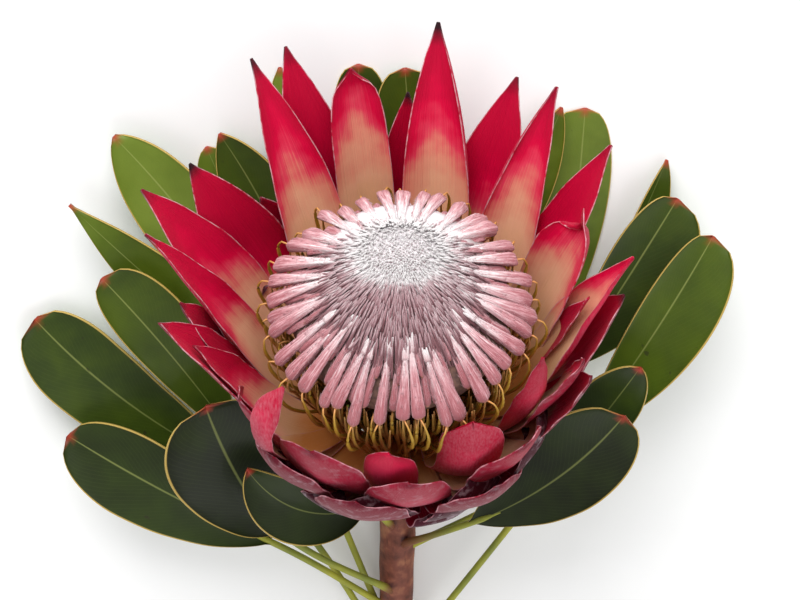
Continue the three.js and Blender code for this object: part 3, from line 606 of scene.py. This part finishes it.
colour = add(tree, "Mix", {0: rim, 6: colour, 7: "#D49AA4"}, data_type="RGBA", out=2)
point = add(tree, "MapRange", {0: along, 1: 0.955, 2: 0.99})
point = add(tree, "Math", {0: point, 1: dark}, operation="MULTIPLY")
colour = add(tree, "Mix", {0: point, 6: colour, 7: "#2E1018"}, data_type="RGBA", out=2)
tree.links.new(colour, shader.inputs["Base Color"])
tree.links.new(add(tree, "Bump", {"Height": streaks, "Distance": 0.3 / 1000}), shader.inputs["Normal"])

bract_parts = [bract_part(bract, i) for i, bract in enumerate(BRACTS)]
for whorl in SCALE_WHORLS:
    for i in range(whorl["count"]):
        azimuth = whorl["start"] + 360 * i / whorl["count"]
        bract_parts.append(bract_part({**SCALE, **whorl, "azimuth": azimuth}, i))
grow("bract_whorls", bract_parts, bract_skin, "bracts", "bracts")

# --- The florets ----------------------------------------------------------------------------------
# A dome of woolly perianths. The outer ones are mauve-pink clubs that lie along the dome, blunt at their outer end
# and drawn out to white whiskers inwards; the inner ones stand close like a brush, and only their white tips show.

DOME_RADIUS = 52.5
DOME_TOP = 123  # above the neck
DOME_DROP = 35  # from its top to its rim
# count; the radii of its outer and inner ends; its widest; its depth under the dome; how white it is, where the second
# whorl's lower value is painted shade, as it lies under the first.
CLUB_WHORLS = [
    dict(count=38, outer=52.5, inner=28, width=6.2, under=0.4, white=0),
    dict(count=48, outer=45, inner=25, width=4.2, under=2.8, white=-0.2),
    dict(count=50, outer=38, inner=20, width=2.4, under=1.2, white=0),
]
CLUB_STEPS = 20
CLUB_SIDES = 16
CLUB_HAIRS = 120
CLUB_FLATNESS = 0.72
HAIR_RADIUS = 0.08
# How far along from the inner end, and the share of its full thickness there.
CLUB_PROFILE = [(0, 0.3), (0.2, 0.44), (0.6, 0.76), (0.88, 1), (0.95, 0.92), (0.985, 0.6), (1, 0.32)]


def dome_height(radius):
    return DOME_TOP - DOME_DROP * (np.hypot(radius, 4) / DOME_RADIUS) ** 1.3


def hairs(roots, ways, radius, **marks):
    """Closed three-sided hairs from their roots; a hair is as long as its way."""
    side = unit(np.cross(ways, np.array([0.31, 0.42, 0.85])))
    other = unit(np.cross(ways, side))
    angles = [0, 2 * math.pi / 3, 4 * math.pi / 3]
    foot = [roots + radius * (math.cos(a) * side + math.sin(a) * other) for a in angles]
    points = np.stack([*foot, roots + ways], axis=1).reshape(-1, 3)
    faces = np.array([[0, 2, 1], [0, 1, 3], [1, 2, 3], [2, 0, 3]])
    faces = (faces + 4 * np.arange(len(roots))[:, None, None]).reshape(-1, 3).tolist()
    return points, faces, {name: np.repeat(np.broadcast_to(value, len(roots)), 4) for name, value in marks.items()}


floret_parts = []
hair_parts = []
club_ends = []
for whorl in CLUB_WHORLS:
    for i in range(whorl["count"]):
        azimuth = 2 * math.pi * (i + chance.uniform(-0.24, 0.24)) / whorl["count"] + whorl["outer"]
        outer = whorl["outer"] - chance.beta(1, 2) * 5
        inner = whorl["inner"] + chance.uniform(-3, 3)
        tilt = chance.uniform(-0.06, 0.06)
        t = np.linspace(0, 1, CLUB_STEPS + 1)
        radius = mix(inner, outer, t)
        height = dome_height(radius) - whorl["under"] - chance.uniform(0, 1.8) - 0.8 * smooth(0.8, 1, t)
        place = in_head(radius, azimuth + tilt * (1 - t), height)
        way = unit(np.gradient(place, axis=0))
        profile = np.interp(t, *np.array(CLUB_PROFILE).T)
        turn = (np.arange(CLUB_SIDES) + 0.5) / CLUB_SIDES * 2 * math.pi
        grooves = 1 + 0.12 * np.cos(4 * turn + i)
        face = unit(in_head(1, azimuth, 1.2) - NECK)
        in_front = max(0, -math.sin(azimuth))  # the clubs there are narrower
        thick = whorl["width"] * mix(1, 0.84, in_front) * chance.uniform(0.85, 1.15) / 2 * profile
        # Painted light and shade: the sine of the azimuth makes the clubs whiter on the side that faces down, towards
        # the key light, and more mauve at the front, away from it.
        looks = dict(along=t, tone=chance.random(), grey_and_shade=0.0, white=whorl["white"] - 0.1 + 0.3 * math.sin(azimuth))
        looks["turn"] = np.tile(turn, (len(t), 1))
        floret_parts.append(tube(place, way, thick[:, None] * grooves, CLUB_SIDES, face, CLUB_FLATNESS, **looks))
        if whorl["outer"] > 50:
            club_ends.append((azimuth, outer, height[-1]))
        # Its three blunt points reach on towards the top of the dome.
        across = unit(np.cross(face, way[0]))
        for side in (-1, 0, 1):
            run = np.linspace(-1.5, chance.uniform(3.0, 6.0), 6)[:, None]
            spread = side * (thick[0] * 0.6 + 0.1 * np.abs(run))
            point = place[0] - way[0] * run + across * spread + face * (0.3 + 0.12 * run) * (1 + side * 0.3)
            thin = np.array([0.6, 0.7, 0.6, 0.5, 0.4, 0.2]) * whorl["width"] / 5.2
            point_looks = dict(along=np.linspace(0.25, -0.15, 6), turn=np.tile(turn[:8] * 2, (6, 1)))
            floret_parts.append(tube(point, np.tile(-way[0], (6, 1)), thin, 8, face, **{**looks, **point_looks}))
        # Fine hairs lie along its upper side, denser and whiter towards its inner end.
        at = chance.beta(0.9, 1.1, CLUB_HAIRS) * 0.97
        k = (at * CLUB_STEPS).astype(int)
        turn = chance.uniform(0.1, math.pi - 0.1, CLUB_HAIRS)[:, None]
        side = unit(np.cross(face, way[k]))
        out = side * np.cos(turn) + np.cross(way[k], side) * np.sin(turn) * CLUB_FLATNESS
        roots = place[k] + out * thick[k][:, None] * 0.98
        ways = way[k] * -chance.uniform(0.8, 3.2, (CLUB_HAIRS, 1)) + out * 0.4 + chance.normal(0, 0.3, (CLUB_HAIRS, 3))
        # The same painted light makes these hairs whiter on the side towards the key light and pinker at the front.
        hair_parts.append(hairs(roots, ways, HAIR_RADIUS, white=0.7 - 0.8 * at + 0.3 * math.sin(azimuth)))

# The inner florets: only their woolly points show, in the spirals of a seed head. Those at the top of the dome stand
# up, short, white and close like felt; further out they lie towards the top, long, thin and mauve-grey. The white is
# partly painted light: its patch lies off the top, towards the key light, and the front is painted greyer.
POINT_COUNT = 1900
POINT_RADIUS = 36
GOLDEN_ANGLE = math.radians(137.5)
POINT_STEPS = 6
# Partly painted light: the white patch is shifted off the top towards the key light, so the florets on that side are
# painted whiter.
PATCH_OFFSET = 16  # the white patch's middle lies this far from the axis, on the side that faces down
turn = (np.arange(8) + 0.5) / 8 * 2 * math.pi
for i in range(POINT_COUNT):
    radius = POINT_RADIUS * ((i + 0.5) / POINT_COUNT) ** 0.62
    azimuth = i * GOLDEN_ANGLE + chance.normal(0, 0.02)
    off_patch = math.hypot(radius * math.cos(azimuth), radius * math.sin(azimuth) - PATCH_OFFSET)
    outwards = smooth(6, 32, (radius + off_patch) / 2)
    length = mix(2.2, 11.5, outwards) * chance.uniform(0.75, 1.15)
    lying = mix(0.05, 0.93, smooth(4, 28, (radius + off_patch) / 2))
    t = np.linspace(0, 1, POINT_STEPS + 1)
    path = np.maximum(radius - length * lying * t, 0.1)
    standing = length * math.sqrt(1 - lying**2)
    lift = mix(0.5, 1.4, outwards) + chance.normal(0, 0.4) - standing * (1 - t) - 1.4 * (1 - t) * outwards
    place = in_head(path, azimuth + chance.normal(0, 0.04) * t, dome_height(path) + lift)
    way = unit(np.gradient(place, axis=0))
    thick = np.interp(t, [0, 0.4, 0.85, 1], [0.42, 0.5, 0.4, 0.16]) * mix(0.9, 1, outwards)
    # Painted light and shade: the points in the patch, towards the key light, are painted white, and those at the
    # front, away from it, greyer, besides their own white tips.
    felt_and_painted_light = mix(1.1, -0.5, smooth(19, 35, off_patch + chance.normal(0, 2)))
    felt_and_painted_light += 0.4 * min(0, math.sin(azimuth)) * smooth(5, 16, radius)
    looks = dict(tone=chance.random(), white=felt_and_painted_light, grey_and_shade=0.5, turn=np.tile(turn, (len(t), 1)))
    face = unit(in_head(1, azimuth, 1.5) - NECK)
    floret_parts.append(tube(place, way, thick, 8, face, along=0.95 - 0.85 * smooth(0.3, 1, t), **looks))

# White wool between the points at the top of the dome.
WOOL_COUNT = 2600
WOOL_RADIUS = 0.12
radius = 26 * chance.beta(1.4, 1.6, WOOL_COUNT)
azimuth = chance.uniform(0, 2 * math.pi, WOOL_COUNT)
x, y = radius * np.cos(azimuth), radius * np.sin(azimuth) + PATCH_OFFSET
radius, azimuth = np.hypot(x, y), np.arctan2(y, x)
roots = in_head(radius, azimuth, dome_height(radius) - chance.uniform(0, 0.6, WOOL_COUNT))
inwards = NECK - in_head(1, azimuth, 0)
ways = inwards * chance.uniform(-0.2, 1.0, (WOOL_COUNT, 1)) + HEAD_AXIS * chance.uniform(0.2, 0.8, (WOOL_COUNT, 1))
hair_parts.append(hairs(roots, ways + chance.normal(0, 0.4, (WOOL_COUNT, 3)), WOOL_RADIUS, white=1.4))

# Perianth wool: soft, dull and mauve-pink, with lengthwise fibres half a millimetre apart that whiten inwards.
wool, tree, shader = finish_of(
    "woolly perianth", {"Roughness": 0.85, "Specular IOR Level": 0.15, "Sheen Weight": 0.2, "Sheen Roughness": 0.5}
)
names = ("along", "tone", "white", "grey_and_shade", "turn")
along, tone, white, grey_and_shade, turned = [add(tree, "Attribute", attribute_name=name, out="Fac") for name in names]
around = add(tree, "Math", {0: turned, 1: 2.4}, operation="MULTIPLY")
lengthwise = add(tree, "Math", {0: along, 1: 2.2}, operation="MULTIPLY")
each = add(tree, "Math", {0: tone, 1: 40.0}, operation="MULTIPLY")
fibres = add(tree, "CombineXYZ", {0: around, 1: lengthwise, 2: each})
fibres = add(tree, "TexNoise", {"Vector": fibres, "Scale": 1.6, "Detail": 5, "Roughness": 0.7})
share = add(tree, "Math", {0: white, 1: -0.5, 2: along}, operation="MULTIPLY_ADD")
share = add(tree, "Math", {0: fibres, 1: -2.6, 2: share}, operation="MULTIPLY_ADD")
share = add(tree, "Math", {0: share, 1: 1.3}, operation="ADD")
pinks = [(0.0, "#F2EEEE"), (0.3, "#E0C6C8"), (0.6, "#CC969C"), (1.0, "#A46268")]
# Partly painted shade: the inner points get this darker mauve-grey ramp so that they look shaded, besides their own
# mauve-grey.
mauves = [(0.0, "#F2EEEE"), (0.3, "#CCBCC0"), (0.6, "#988086"), (1.0, "#5C484E")]
colour = add(tree, "ValToRGB", {0: share}, pinks)
greyed = add(tree, "ValToRGB", {0: share}, mauves)
colour = add(tree, "Mix", {0: grey_and_shade, 6: colour, 7: greyed}, data_type="RGBA", out=2)
nub = add(tree, "MapRange", {0: along, 1: 0.96, 2: 1.0})
colour = add(tree, "Mix", {0: nub, 6: colour, 7: "#C8846A"}, data_type="RGBA", out=2)
tree.links.new(colour, shader.inputs["Base Color"])
tree.links.new(add(tree, "Bump", {"Height": fibres, "Distance": 0.4 / 1000}), shader.inputs["Normal"])

# The dome's middle under the clubs: painted dark brown as the shade between them, and felted white at the top, which is
# partly painted light.
t = np.linspace(0, 1, 40)
heart_radius = np.interp(t, [0, 0.18, 0.4, 0.5, 1], [2, 30, 40, 42, 0.5])
under_dome = dome_height(heart_radius) - 5
heart_height = np.where(t < 0.5, np.interp(t, [0, 0.18, 0.4, 0.5], [76, 74, 80, 86]), under_dome)
HEART_SIDES = 64
spine = np.tile(HEAD_AXIS, (len(t), 1))
heart = tube(NECK + heart_height[:, None] * HEAD_AXIS, spine, heart_radius, HEART_SIDES, HEAD_ACROSS)
off_axis = heart[0] - NECK
off_patch = np.hypot(off_axis @ HEAD_ACROSS, off_axis @ HEAD_DOWN - PATCH_OFFSET)
felted = smooth(36, 22, off_patch) * np.repeat(t > 0.5, HEART_SIDES)
heart[0][:] += 4 * felted[:, None] * HEAD_AXIS
heart[2]["felted"] = felted
# Down: short and matt, so the heart stays dull between the points; its dark brown there is painted shade.
down, tree, shader = finish_of("shaded floret down", {"Roughness": 0.9, "Specular IOR Level": 0.1})
felt_and_painted_light = add(tree, "Attribute", attribute_name="felted", out="Fac")
where = add(tree, "TexCoord", out="Object")
mottle = add(tree, "TexNoise", {"Vector": where, "Scale": 1000 / 2, "Detail": 4})
dark = add(tree, "ValToRGB", {0: mottle}, [(0.3, "#584440"), (0.7, "#846458")])
colour = add(tree, "Mix", {0: felt_and_painted_light, 6: dark, 7: "#E4DEE0"}, data_type="RGBA", out=2)
tree.links.new(colour, shader.inputs["Base Color"])
grow("floret_heart", [heart], down, "florets")
grow("floret_clubs", floret_parts, wool, "florets", "florets")

# Silk: fine and a little shiny, so the white hairs catch the light; those on the outer ends are pinker.
silk_hair, tree, shader = finish_of("white silk hair", {"Roughness": 0.6, "Specular IOR Level": 0.3})
white = add(tree, "Attribute", attribute_name="white", out="Fac")
colour = add(tree, "ValToRGB", {0: white}, [(0.2, "#D4AAB0"), (0.8, "#E6E2E4")])
tree.links.new(colour, shader.inputs["Base Color"])
grow("floret_hairs", hair_parts, silk_hair, "florets")

# --- The styles -----------------------------------------------------------------------------------
# Stiff mustard-yellow threads, one from each club's outer end: a thin orange thread hooks over, thickens and bows
# down to the receptacle. Straight tan straps of split perianths stand between them, round a dark, crowded middle.

STYLE_RADIUS = 0.75
THREAD_SHARE = 0.45  # the hooked end is this share of it
STYLE_STEPS = 30
INNER_STYLES = 34  # styles of the inner clubs, between the outer ones
STRAP_COUNT = 250
STRAP_STEPS = 16
style_parts = []


def strand(points, steps):
    """The places and directions of a smooth line through a list of points."""
    p = np.array(points, float)
    knots = np.concatenate([[0], np.cumsum(np.linalg.norm(np.diff(p, axis=0), axis=1))])
    slopes = np.gradient(p, knots, axis=0)
    at = np.linspace(0, knots[-1], steps + 1)
    k = np.clip(np.searchsorted(knots, at, side="right") - 1, 0, len(p) - 2)
    gap = (knots[k + 1] - knots[k])[:, None]
    x = (at - knots[k])[:, None] / gap
    place = (
        (2 * x**3 - 3 * x**2 + 1) * p[k]
        + (x**3 - 2 * x**2 + x) * gap * slopes[k]
        + (3 * x**2 - 2 * x**3) * p[k + 1]
        + (x**3 - x**2) * gap * slopes[k + 1]
    )
    return place, unit(np.gradient(place, axis=0))


def style(azimuth, end, height, bulge, low, swing):
    """A style from the receptacle to the club end at that radius and height."""
    path = [
        (21, 30),
        (end * 0.68, 38 + low),
        (end * 0.95 + bulge * 0.7, height - 31 + low),
        (end + 3 + bulge, height - 15),
        (end + 4 + bulge * 0.8, height - 4),
        (end + 2.4 + bulge * 0.3, height + 0.2),
        (end - 1.5, height - 0.3),
    ]
    radii, heights = np.array(path, float).T
    swung = azimuth + swing * np.sin(np.linspace(math.pi, 0, len(path)))
    place, way = strand(in_head(radii, swung, heights), STYLE_STEPS)
    t = np.linspace(0, 1, STYLE_STEPS + 1)
    thick = STYLE_RADIUS * mix(1.0, THREAD_SHARE, smooth(0.8, 0.93, t))
    return tube(place, way, thick, 8, HEAD_AXIS, along=t, strap=0.0)


for azimuth, end, height in club_ends:
    bulge, low, swing = chance.uniform(-3.0, 1.2), chance.uniform(-3, 4), chance.uniform(-0.08, 0.08)
    style_parts.append(style(azimuth, end, height, bulge, low, swing))
for i in range(INNER_STYLES):
    azimuth = 2 * math.pi * (i + chance.uniform(0, 0.6)) / INNER_STYLES
    style_parts.append(style(azimuth, chance.uniform(42, 47), chance.uniform(82, 86), -1.5, chance.uniform(0, 6), 0.0))
t = np.linspace(0, 1, STRAP_STEPS + 1)
for i in range(STRAP_COUNT):
    azimuth = 2 * math.pi * (i + chance.random()) / STRAP_COUNT
    outer, top = chance.uniform(40, 49), 80.0
    if i < len(club_ends):
        azimuth, outer, top = club_ends[i]
    lean = chance.normal(0, 0.1) * np.array([1, 0.5, 0.1, 0])
    radii = np.array([outer * 0.66, outer * 0.84, outer - 0.5, outer - 0.5])
    heights = np.array([18 + chance.normal(0, 2), 46, top - 12, top - 0.5])
    place, way = strand(in_head(radii, azimuth + lean, heights), STRAP_STEPS)
    out = in_head(1, azimuth, 0) - NECK
    thick = STYLE_RADIUS * mix(1, 0.4, smooth(0.75, 1, t))
    tan = chance.uniform(0.2, 1)
    style_parts.append(tube(place, way, thick, 6, out, 0.6, along=t, strap=tan))

# Style skin: smooth and waxy yellow; the straps are dull tan.
style_skin, tree, shader = finish_of("waxy yellow style", {"Roughness": 0.45, "Specular IOR Level": 0.4})
along, strap = [add(tree, "Attribute", attribute_name=name, out="Fac") for name in ("along", "strap")]
where = add(tree, "TexCoord", out="Object")
patches = add(tree, "TexNoise", {"Vector": where, "Scale": 1000 / 8, "Detail": 4})
mustard = [(0.1, "#7E6424"), (0.4, "#A8862C"), (0.9, "#B08C30"), (0.97, "#D09058")]
yellow = add(tree, "ValToRGB", {0: along}, mustard)
tan = add(tree, "ValToRGB", {0: patches}, [(0.3, "#A87C3E"), (0.7, "#D4B06C")])
colour = add(tree, "Mix", {0: strap, 6: yellow, 7: tan}, data_type="RGBA", out=2)
tree.links.new(colour, shader.inputs["Base Color"])
grow("style_bows", style_parts, style_skin, "styles", "styles")

# The crowded middle: floret tubes packed side by side, dark between them.
TUBE_RIDGES = 60
TUBE_SIDES = TUBE_RIDGES * 4
heights = np.linspace(26, 82, 24)
core_radius = np.interp(heights, [26, 30, 45, 62, 74, 82], [21, 23, 26, 31, 36, 38])
turn = (np.arange(TUBE_SIDES) + 0.5) / TUBE_SIDES * 2 * math.pi
ridges = 1 + 0.035 * np.cos(TUBE_RIDGES * turn)
spine = np.tile(HEAD_AXIS, (len(heights), 1))
core = tube(NECK + heights[:, None] * HEAD_AXIS, spine, core_radius[:, None] * ridges, TUBE_SIDES, HEAD_ACROSS)
# Tube skin: dry and papery, a satin brown.
tubes_skin, tree, shader = finish_of("brown floret tube", {"Roughness": 0.6, "Specular IOR Level": 0.3})
where = add(tree, "TexCoord", out="Object")
mottle = add(tree, "TexNoise", {"Vector": where, "Scale": 1000 / 3, "Detail": 4})
colour = add(tree, "ValToRGB", {0: mottle}, [(0.3, "#80602C"), (0.7, "#B48C44")])
tree.links.new(colour, shader.inputs["Base Color"])
grow("floret_tubes", [core], tubes_skin, "styles")

# --- The table, the light and the camera ------------------------------------------------------------
# A plain pale table top under soft studio light from the head's side, and a camera that looks down at the angle
# of the photograph, with the picture's up along the stem.

FLOOR_SIZE = 6.0  # metres
FLOOR_DROP = 0.0002  # metres below the part's lowest points, so that the two faces don't meet
floor_mesh = bpy.data.meshes.new("table")
corners = [(-1, -1), (1, -1), (1, 1), (-1, 1)]
floor_mesh.from_pydata([(x * FLOOR_SIZE / 2, y * FLOOR_SIZE / 2, -FLOOR_DROP) for x, y in corners], [], [[0, 1, 2, 3]])
floor = bpy.data.objects.new("table", floor_mesh)
bpy.context.scene.collection.objects.link(floor)
# Board: white, matt and almost even.
paper, tree, shader = finish_of("white matt board", {"Roughness": 0.9, "Specular IOR Level": 0.2})
where = add(tree, "TexCoord", out="Object")
mottle = add(tree, "TexNoise", {"Vector": where, "Scale": 1000 / 60, "Detail": 4})
colour = add(tree, "ValToRGB", {0: mottle}, [(0.3, "#F4F4F4"), (0.7, "#F8F8F8")])
tree.links.new(colour, shader.inputs["Base Color"])
floor_mesh.materials.append(paper)

HEAD_MIDDLE = NECK + FOOT + 60 * HEAD_AXIS


def softbox(name, place, size, power):
    """A square area light that looks at the head; place in metres."""
    light = bpy.data.lights.new(name, "AREA")
    light.size = size
    light.energy = power
    lamp = bpy.data.objects.new(name, light)
    bpy.context.scene.collection.objects.link(lamp)
    lamp.location = place
    way = Vector(place) - Vector(HEAD_MIDDLE / 1000)
    lamp.rotation_euler = way.to_track_quat("Z", "Y").to_euler()


softbox("key", (-0.2, 1.5, 0.9), 1.3, 34)
softbox("fill", (0.5, -0.8, 1.2), 1.4, 9)

world = bpy.data.worlds.new("studio")
bpy.context.scene.world = world
world.use_nodes = True
world.node_tree.nodes["Background"].inputs["Color"].default_value = (1, 1, 1, 1)
world.node_tree.nodes["Background"].inputs["Strength"].default_value = 0.6
bpy.context.scene.view_settings.view_transform = "Standard"

CAMERA_TILT = math.radians(25)  # from straight down
CAMERA_DISTANCE = 900
CAMERA_LENS = 106.6
camera_data = bpy.data.cameras.new("camera")
camera_data.lens = CAMERA_LENS
camera_data.sensor_width = 36
camera = bpy.data.objects.new("camera", camera_data)
bpy.context.scene.collection.objects.link(camera)
aim = NECK + FOOT + 95 * HEAD_AXIS
back = np.array([0.0, math.sin(CAMERA_TILT), math.cos(CAMERA_TILT)])
camera.location = (aim + CAMERA_DISTANCE * back) / 1000
camera.rotation_euler = (-CAMERA_TILT, 0, 0)
bpy.context.scene.camera = camera
